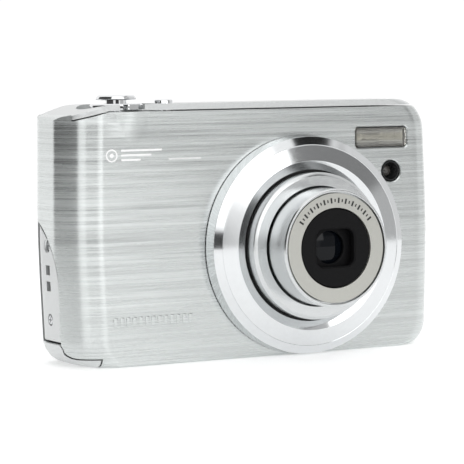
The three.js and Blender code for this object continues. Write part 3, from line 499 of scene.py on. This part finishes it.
cut(cover, panel_hole,
    stack("lens_hole", circle(21, 128), [(FRONT - 3, 0), (FRONT + 4, 0)], "Y", (LENS.x, LENS.z)),
    flare("flash_hole", rounded([(-7.35, -2.6, 0.9), (7.35, -2.6, 0.9), (7.35, 2.6, 0.9),
                                 (-7.35, 2.6, 0.9)], 3),
          (FLASH.x, FLASH.z), 4),
    flare("af_hole", circle(2.7, 72), (AF.x, AF.z), 4, 0.25),
    door_zone("door_gap", SEAM), plate_zone("plate_gap", SEAM),
    stack("tripod_hole", circle(4.9, 72), [(-2, 0.2), (0.001, 0.2), (0.2, 0), (4, 0)], "Z",
          (TRIPOD.x, TRIPOD.y)),
    block("usb_hole", (RIGHT - 4, USB[0].y - 0.3, USB[0].z - 0.5),
          (RIGHT + 3, USB[1].y + 0.3, USB[1].z + 0.5)),
    *[stack("screw_hole", circle(1.4, 40), [(-2, 0.15), (0.001, 0.15), (0.15, 0), (4, 0)], "Z",
            (centre(n).x, centre(n).y)) for n in ("bottom_screw_left", "bottom_screw_right")])
piece(cover, "body", "brushed_shell", BRUSHED, "front_cover", angle=24)

device = [lathe("device", [(1.15, -0.03), (1.5, -0.03), (1.5, 0.02), (1.15, 0.02)], (-38.6, FRONT, 49.3),
                sides=64),
          lathe("device", [(0, -0.03), (0.5, -0.03), (0.5, 0.02), (0, 0.02)], (-38.6, FRONT, 49.3),
                sides=48)]
for x0, x1, z0, z1 in ((-36.2, -25.6, 50.2, 50.65), (-36.2, -28.4, 49.1, 49.55),
                       (-36.2, -31.2, 48.0, 48.45),
                       (-24.0, -15.4, 48.0, 48.35)):
    device.append(stack("device", rectangle(x1 - x0, z1 - z0, 0.2, 4),
                        [(FRONT - 0.03, 0), (FRONT + 0.02, 0)], "Y",
                        ((x0 + x1) / 2, (z0 + z1) / 2)))


def merged(name, parts):
    whole = bmesh.new()
    for part in parts:
        whole.from_mesh(part.data)
    mesh = bpy.data.meshes.new(name)
    whole.to_mesh(mesh)
    whole.free()
    for part in parts:
        bpy.data.objects.remove(part)
    obj = bpy.data.objects.new(name, mesh)
    scene.collection.objects.link(obj)
    return obj


piece(merged("front_print", device), "body", "brushed_shell", WHITE)
blocks = []
for k in range(13):
    blocks.append(stack("block", rectangle(1.15, 2.3, 0.35, 5), [
        (FRONT - 0.16, -0.22), (FRONT - 0.12, -0.08), (FRONT - 0.02, 0), (FRONT + 0.05, 0)], "Y",
        (-38.3 + k * 1.62, 10.55)))
piece(merged("front_blocks", blocks), "body", "brushed_shell", BRUSHED, angle=40)

rear = form("rear_cover_skin", 0)
cut(rear, form("cavity", 1.0, 0.2), top_zone("above", -SEAM),
    block("ahead", (LEFT - 2, FRONT - 3, -2), (RIGHT + 2, PARTING + 0.15, TOP + 3)))
LCD = span("lcd_window")
lcd_at = ((LCD[0].x + LCD[1].x) / 2, (LCD[0].z + LCD[1].z) / 2)
PAD = centre("key_ok")


def rear_hole(outline, at):
    return stack("rear_hole", outline,
                 [(REAR - 3, 0), (REAR - 0.25, 0), (REAR + 0.001, 0.25), (REAR + 2, 0.25)],
                 "Y", at)


cut(rear, rear_hole(rectangle(LCD[1].x - LCD[0].x + 0.4, LCD[1].z - LCD[0].z + 0.4, 1.5), lcd_at),
    rear_hole(circle(8.85, 128), (PAD.x, PAD.z)),
    *[rear_hole(circle(2.85, 64), (centre(n).x, centre(n).z)) for n in ("key_play", "key_menu")])
piece(rear, "body", "silver_plastic", SILVER, "rear_cover", angle=24)

plate = form("top_plate_skin", 0.15, 0.3)
common(plate, block("plate_limit", (LEFT + 3, FRONT - 3, TOP - 8), (RIGHT + 3, REAR + 3, TOP + 3)))
cut(plate, stack("plate_under", [Vector(p) for p in [
    (LEFT - 5, COVER_TOP - 3.8), (LEFT - 5, TOP - 12), (RIGHT + 5, TOP - 12), (RIGHT + 5, COVER_TOP),
    (LEFT + SHOULDER_RUN, COVER_TOP), (LEFT + 3, COVER_TOP - 1.9)]], [(FRONT - 5, 0), (REAR + 5, 0)], "Y"),
    stack("notch", circle(WELL_RADIUS, 128), [(TOP - 9, 0), (TOP + 4, 0)], "Z", (SHUTTER.x, SHUTTER.y)),
    stack("power_hole", circle(2.6, 64), [(TOP - 9, 0), (TOP + 4, 0)], "Z", (POWER.x, POWER.y)))
bevel(plate, 0.3, 3)
piece(plate, "body", "silver_plastic", SILVER, "top_plate", angle=30)

panel = common(form("side_panel_skin", 0.5, 0.2),
               stack("panel_a", panel_outline(-0.12), [(LEFT - 3, 0), (LEFT + 6, 0)], "X"))
raised = common(form("panel_raised", 0.38, 0.2),
                stack("panel_b", offset(panel_outline(0), -1.3), [(LEFT - 3, 0), (LEFT + 6, 0)], "X"))
join(panel, raised)
STRAP = centre("strap_bar")
cut(panel, form("panel_core", 1.95, 0.2),
    *[block("strap_hole", (LEFT - 2, PANEL_Y - 1.1, z - 1.15), (LEFT + 4, PANEL_Y + 1.1, z + 1.15))
      for z in (STRAP.z + 1.9, STRAP.z - 1.9)],
    *[stack("blind", circle(1.4, 48),
            [(LEFT - 2, 0.25), (LEFT + 0.75, 0.25), (LEFT + 1.05, 0), (LEFT + 4, 0)],
            "X", (PANEL_Y, centre(n).z)) for n in ("side_screw_upper", "side_screw_lower")])
bevel(panel, 0.12, 2, 50)
piece(panel, "body", "silver_plastic", SILVER, "side_panel", "strap_bar", angle=24)


def screw(name, place, axis, sign):
    """A small pan-head screw with a cross recess; the head's face is at place, looking out along -sign."""
    head = lathe(name + "_piece", [(0, 0), (1.1, 0, 0.2), (1.1, 0.7 * sign), (0.55, 0.9 * sign),
                                   (0.55, 2.1 * sign), (0, 2.1 * sign)], (0, 0, 0), axis, 48)
    for size in ((0.65, 0.14), (0.14, 0.65)):
        low = (-size[0], -size[1], -0.5) if axis == "Z" else (-0.5, -size[0], -size[1])
        high = (size[0], size[1], 0.45) if axis == "Z" else (0.45, size[0], size[1])
        cut(head, block("cross", low, high))
    head.data.transform(Matrix.Translation(Vector(place) * MM))
    return head


for n in ("side_screw_upper", "side_screw_lower"):
    low, high = span(n)
    piece(screw(n, (low.x, PANEL_Y, (low.z + high.z) / 2), "X", 1), "body", "steel", STEEL, n)
for n in ("bottom_screw_left", "bottom_screw_right"):
    low, high = span(n)
    piece(screw(n, ((low.x + high.x) / 2, (low.y + high.y) / 2, low.z), "Z", 1), "body", "steel", STEEL, n)

thread = [(4.6, 0, 0.2), (4.6, 7)]
bore = [(0, 7), (0, 6)] + [(3.1 + (0.35 if k % 2 else -0.25), 6 - k * 0.32) for k in range(1, 18)] + [(3.4,
                                                                                                       0)]
piece(lathe("tripod_insert_piece", thread + bore, (TRIPOD.x, TRIPOD.y, span("tripod_insert")[0].z), "Z",
            96),
      "body", "brass", BRASS, "tripod_insert")

door = form("door_skin", 0)
cut(door, form("door_core", 1.3, 0.2))
common(door, door_zone("door_cap", 0))
door_plate = plate_zone("door_plate", 0)
common(door_plate, form("door_limit", 0.02))
join(door, door_plate)
hinge = centre("door_pin")
barrel = stack("knuckle", circle(0.7, 32), [(FRONT + 3.5, 0), (PARTING - 1, 0)], "Y", (hinge.x, hinge.z))
join(door, barrel)
cut(door, block("carrier_gap", (hinge.x - 1.5, -0.3, -1), (hinge.x + 2, 4.6, 3)),
    stack("pin_hole", circle(0.38, 24), [(FRONT + 2, 0), (PARTING, 0)], "Y", (hinge.x, hinge.z)))
piece(door, "door", "silver_plastic", SILVER, "battery_door", angle=24)

# ---------------------------------------------------------------- lens

AT = (LENS.x, LENS.y, LENS.z)
piece(lathe("bezel", [
    (26.4, -0.3), (26.05, -3.55, 0.12), (24.15, -4.45, 0.05), (24.05, -4.40, 0.05), (23.95, -4.5, 0.05),
    (20.3, -5.2, 0.12), (18.15, -4.35, 0.15), (18.1, -3.0), (18.55, -2.0), (18.55, 2.6), (20.7, 2.6),
    (20.7, -0.3)], AT, sides=224),
    "body", "polished_metal", POLISHED, "lens_bezel")
piece(lathe("seal", [(17.72, -3.9), (18.05, -3.9, 0.05), (18.05, -3.2), (17.72, -3.2)], AT), "body",
      "rubber",
      RUBBER, "light_seal")
piece(lathe("outer_tube", [
    (14.4, -8.2, 0.08), (16.8, -8.2, 0.12), (17.6, -7.6, 0.3), (17.6, 13.8), (16.4, 13.8), (16.4, -7.0),
    (14.4, -7.0)], AT, sides=200), "outer", "polished_metal", SATIN, "outer_barrel")
piece(lathe("inner_tube", [
    (13.3, -16.2, 0.05), (13.7, -16.2, 0.12), (14.0, -15.8, 0.1), (14.0, 0.6), (16.05, 0.6), (16.05, 1.8),
    (12.6, 1.8), (12.6, -14.7), (13.3, -14.7)], AT, sides=200), "inner", "polished_metal", SATIN,
    "inner_barrel")
piece(lathe("name_ring_piece", [
    (9.5, -16.0, 0.08), (12.95, -16.0, 0.1), (12.95, -15.0), (9.5, -15.0)], AT, sides=200), "inner",
    "name_ring", RING, "name_ring")
mask = lathe("mask", [(0, -15.8), (9.2, -15.8, 0.1), (9.2, -14.7), (12.3, -14.7), (12.3, -14.1),
                      (0, -14.1)], AT)
cut(mask, stack("window", rectangle(10.3, 8.9, 2), [
    (FRONT - 18, 0.35), (FRONT - 15.801, 0.35), (FRONT - 15.45, 0), (FRONT - 13, 0)], "Y",
    (LENS.x, LENS.z)))
piece(mask, "inner", "black_plastic", BLACK, "barrier_mask")
piece(lathe("holder", [
    (3.9, -12.9, 0.25), (12.3, -12.9), (12.3, -6.9), (6.35, -6.9), (6.35, -12.3), (3.9, -12.3)], AT,
    sides=128),
    "inner", "black_plastic", BLACK, "lens_holder")
dome = [(6.05 * k / 12, -12.0 + 0.8 * (k / 12) ** 2) for k in range(13)]
piece(lathe("front_glass", dome + [(6.05, -9.6), (0, -9.6)], AT, sides=96), "inner", "glass", GLASS,
      "front_lens")
for n, sign in (("barrier_blade_upper", 1), ("barrier_blade_lower", -1)):
    low, high = span(n)
    base = low.z if sign > 0 else high.z
    flat = rounded([(-6, 0, 0.5), (6, 0, 0.5), (6, 3.4 * sign, 0.5), (3.6, 5.2 * sign, 0.5),
                    (-3.6, 5.2 * sign, 0.5), (-6, 3.4 * sign, 0.5)][::sign], 5)
    blade = stack(n + "_piece", flat, edged(low.y, high.y, 0.08), "Y", (LENS.x, base))
    piece(blade, "blade_upper" if sign > 0 else "blade_lower", "black_plastic", BLACK, n)

marks = []
for k in range(23):
    angle = math.radians(36 + k * 5.0)
    tall = 1.25 if k % 2 == 0 else 0.7
    wide = 0.22 if k % 2 == 0 else 0.16
    along = Vector((math.cos(angle), math.sin(angle)))
    across = Vector((-along.y, along.x))
    foot = along * (11.25 - tall / 2)
    top = along * (11.25 + tall / 2)
    outline = [foot - across * wide, top - across * wide, top + across * wide, foot + across * wide]
    marks.append(stack("mark", outline, [(FRONT - 16.03, 0), (FRONT - 15.98, 0)], "Y", (LENS.x, LENS.z)))
scale_marks = merged("ring_marks", marks)
piece(scale_marks, "inner", "black_plastic", INK)

# ---------------------------------------------------------------- flash and lamp

ribs = [Vector((FLASH.x - 7.05, FRONT + 0.1)), Vector((FLASH.x + 7.05, FRONT + 0.1)),
        Vector((FLASH.x + 7.05, FRONT + 0.9))]
for k in range(15):
    ribs += [Vector((FLASH.x + 6.6 - k * 0.46, FRONT + 1.15)),
             Vector((FLASH.x + 6.37 - k * 0.46, FRONT + 0.8))]
ribs += [Vector((FLASH.x - 0.4, FRONT + 0.95)), Vector((FLASH.x - 7.05, FRONT + 0.95))]
window = stack("flash_pane", ribs, [(FLASH.z - 2.3, 0), (FLASH.z + 2.3, 0)], "Z")
common(window, stack("flash_limit", rectangle(14.1, 4.6, 0.7), [(FRONT - 1, 0), (FRONT + 3, 0)], "Y",
                     (FLASH.x, FLASH.z)))
piece(window, "body", "clear_plastic", CLEAR, "flash_window", angle=20)
# Painted shade: a thin black frame round the flash window, standing in for the dark shade along the chrome
# reflector's lips.
painted_shade_frame = stack("flash_painted_shade_frame", rectangle(14.6, 5.1, 0.85), [(FRONT + 1.15, 0), (FRONT + 1.3, 0)], "Y",
                   (FLASH.x, FLASH.z))
cut(painted_shade_frame, stack("painted_shade_frame_hole", rectangle(13.3, 3.7, 0.4), [(FRONT, 0), (FRONT + 3, 0)], "Y",
                      (FLASH.x, FLASH.z)))
piece(painted_shade_frame, "body", "black_plastic", BLACK_GLOSS)
trough = stack("trough", rectangle(15.9, 6.2, 0.8), [(FRONT + 1.3, 0), (FRONT + 6.2, 0)], "Y",
               (FLASH.x, FLASH.z))
arc = [(2.15, -1.5), (2.15, 0)] + [(2.15 * math.cos(a), 3.1 * math.sin(a) + 0.4) for a in
                                   [math.pi * k / 16 for k in range(1, 16)]] + [(-2.15, 0), (-2.15, -1.5)]
scoop = stack("scoop", [Vector((FRONT + 2.2 + y, FLASH.z + z)) for z, y in arc],
              [(FLASH.x - 7.0, 0), (FLASH.x + 7.0, 0)], "X")
cut(trough, scoop)
piece(trough, "body", "chrome", CHROME, "flash_reflector", angle=40)
piece(stack("flash_lamp", circle(0.9, 40), edged(FLASH.x - 6.6, FLASH.x + 6.6, 0.3), "X",
            (centre("flash_tube").y, FLASH.z)), "body", "glass", CLEAR, "flash_tube")
piece(lathe("af_cup", [
    (0, 3.6), (1.5, 3.6), (1.9, 2.0), (2.05, 0.9, 0.1), (2.15, 0.3), (2.4, 0.3), (2.4, 4.4), (0, 4.4)],
    (AF.x, FRONT, AF.z), sides=96), "body", "black_plastic", BLACK_GLOSS, "af_lamp_cup")
piece(lathe("af_lens", [(0, 1.9), (0.7, 2.0), (1.2, 2.35), (1.3, 2.7), (1.3, 3.3), (0, 3.3)],
            (AF.x, FRONT, AF.z), sides=64), "body", "clear_plastic", LAMP, "af_lamp")

# ---------------------------------------------------------------- controls

SEAT = COVER_TOP - SEAM
HUB = (SHUTTER.x, SHUTTER.y, SEAT)
lever = lathe("lever_ring", [
    (2.9, 0.3), (6.0, 0.3, 0.05), (6.3, 0.55, 0.1), (6.3, 1.55, 0.12), (5.9, 1.9, 0.15), (2.9, 1.9)], HUB,
    "Z", 128)
tab_turn = math.radians(8)
tab = rounded([(-1.9, -7.9, 0.5), (1.9, -7.9, 0.5), (1.9, -4.8), (-1.9, -4.8)], 6)
tab = [Vector((p.x * math.cos(tab_turn) - p.y * math.sin(tab_turn),
               p.x * math.sin(tab_turn) + p.y * math.cos(tab_turn))) for p in tab]
join(lever, stack("tab", tab, edged(SEAT + 0.45, SEAT + 1.75, 0.15), "Z", (SHUTTER.x, SHUTTER.y)))
piece(lever, "lever", "chrome", CHROME, "zoom_lever")
piece(lathe("button", [
    (0, -2.6), (2.5, -2.6), (2.5, 2.75), (4.5, 2.75, 0.1), (4.8, 3.0, 0.1), (4.6, 3.55, 0.15),
    (4.2, 3.9, 0.12), (3.7, 3.88, 0.1), (2.6, 3.72, 2), (0, 3.66)], HUB, "Z", 128), "shutter", "chrome",
    CHROME, "shutter_button")
piece(lathe("power", [
    (0, -4.6), (1.2, -4.6), (1.2, -2.6), (3.0, -2.6), (3.0, -2.0), (2.25, -2.0), (2.25, 0.55, 0.15),
    (1.9, 0.8, 0.15), (0, 0.74)], (POWER.x, POWER.y, TOP), "Z", 72), "power", "chrome", CHROME,
    "power_button")

for n in ("key_up", "key_down", "key_left", "key_right"):
    turn = {"key_right": math.pi, "key_left": 0, "key_up": math.pi / 2, "key_down": -math.pi / 2}[n]
    points = []
    for k in range(25):
        a = math.radians(-42.6 + 85.2 * k / 24)
        points.append((8.6 * math.cos(a), 8.6 * math.sin(a)))
    for k in range(17):
        a = math.radians(39 - 78 * k / 16)
        points.append((3.5 * math.cos(a), 3.5 * math.sin(a)))
    points = [Vector((x * math.cos(turn) - y * math.sin(turn), x * math.sin(turn) + y * math.cos(turn)))
              for x, y in points]
    piece(stack(n + "_cap", points, edged(REAR - 0.9, REAR + 0.35, 0.2, both=False), "Y", (PAD.x, PAD.z)),
          n + "_body", "silver_plastic", SILVER, n)
for n, radius, proud in (("key_ok", 3.15, 0.45), ("key_play", 2.6, 0.4), ("key_menu", 2.6, 0.4)):
    c = centre(n)
    piece(stack(n + "_cap", circle(radius, 72), edged(REAR - 0.9, REAR + proud, 0.2, both=False), "Y",
                (c.x, c.z)), n + "_body", "silver_plastic", SILVER, n)
piece(stack("screen_pane", rectangle(LCD[1].x - LCD[0].x, LCD[1].z - LCD[0].z, 1.2),
            edged(REAR - 1, REAR + 0.1, 0.1, both=False), "Y", lcd_at), "body", "screen_glass", SCREEN,
      "lcd_window")

# ---------------------------------------------------------------- stage, light and camera


# Soft light cards: azimuth from and to, elevation from and to, brightness, softness of the edge;
# angles in degrees. A later card covers an earlier one.
CARDS = (
    (20, 62, -12, 34, 0.53, 3.0),
    (13, 25, 3.5, 34, 2.6, 1.2),
    (-50, 14, 7, 60, 1.7, 3.0),
    (-30, 6, -4.5, 4.5, 0.06, 1.2),
    (25, 52, 7, 24, 0.26, 1.2),
    (30, 66, 36, 58, 0.02, 1.2),
    (-146, -54, -9, 60, 0.07, 4),
    (62, 112, -9, 60, 0.8, 3.0),
    (116, 190, -30, 30, 1.05, 3.0),
    (-190, -150, -30, 30, 1.05, 3.0),
)
CAMERA_PLACE = (-265.9, -495.2, 67.2)
CAMERA_AZIMUTH, CAMERA_ELEVATION, CAMERA_ROLL = -28.14, 3.85, -0.855
CAMERA_LENS, SENSOR_WIDTH = 179.6, 36


def plain_floor():
    outline = circle(FLOOR_RADIUS, 96)
    floor = stack("floor", outline, [(-4, 0), (0, 0)], "Z")
    floor.data.materials.clear()
    floor.data.materials.append(surface("pale floor", (0.86, 0.865, 0.865, 1), 0.0, 0.75, (60, 60, 60),
                                        0.01,
                                        0.05, 0.0, **{"Emission Color": (1, 1, 1, 1),
                                                      "Emission Strength": 0.38}))


def studio():
    world = bpy.data.worlds.new("studio")
    scene.world = world
    world.use_nodes = True
    t = Tree(world.node_tree)
    parts = world.node_tree.nodes.new("ShaderNodeSeparateXYZ")
    direction = t.add("TexCoord", 0)
    world.node_tree.links.new(direction, parts.inputs[0])
    x, y, z = parts.outputs
    around = t.math("MULTIPLY", t.math("ARCTAN2", x, t.math("MULTIPLY", y, -1.0)), 180 / math.pi)
    height = t.math("MULTIPLY", t.math("ARCSINE", z), 180 / math.pi)
    colour = t.mix(t.remap(height, -5, 60), grey(1.0), grey(1.15))
    for low, high, floor, roof, value, soft in CARDS:
        sides = t.math("MULTIPLY", t.remap(around, low - soft, low + soft, smooth=True),
                       t.remap(around, high - soft, high + soft, 1.0, 0.0, smooth=True))
        ends = t.math("MULTIPLY", t.remap(height, floor - soft, floor + soft, smooth=True),
                      t.remap(height, roof - soft, roof + soft, 1.0, 0.0, smooth=True))
        colour = t.mix(t.math("MULTIPLY", sides, ends), colour, grey(value))
    back = t.add("Background", inputs={0: colour, 1: 1.0})
    end = world.node_tree.nodes.new("ShaderNodeOutputWorld")
    world.node_tree.links.new(back, end.inputs[0])


def camera():
    data = bpy.data.cameras.new("camera")
    data.sensor_width = SENSOR_WIDTH
    data.lens = CAMERA_LENS
    data.clip_start = 0.01
    data.clip_end = 20
    obj = bpy.data.objects.new("camera", data)
    scene.collection.objects.link(obj)
    a, e, roll = (math.radians(v) for v in (CAMERA_AZIMUTH, CAMERA_ELEVATION, CAMERA_ROLL))
    back = Vector((math.sin(a) * math.cos(e), -math.cos(a) * math.cos(e), math.sin(e)))
    right = Vector((math.cos(a), math.sin(a), 0))
    up = back.cross(right)
    across = right * math.cos(roll) + up * math.sin(roll)
    upward = up * math.cos(roll) - right * math.sin(roll)
    for row in range(3):
        obj.matrix_world[row][0] = across[row]
        obj.matrix_world[row][1] = upward[row]
        obj.matrix_world[row][2] = back[row]
    obj.matrix_world.translation = Vector(CAMERA_PLACE) * MM
    scene.camera = obj


plain_floor()
studio()
camera()
scene.view_settings.view_transform = "Standard"
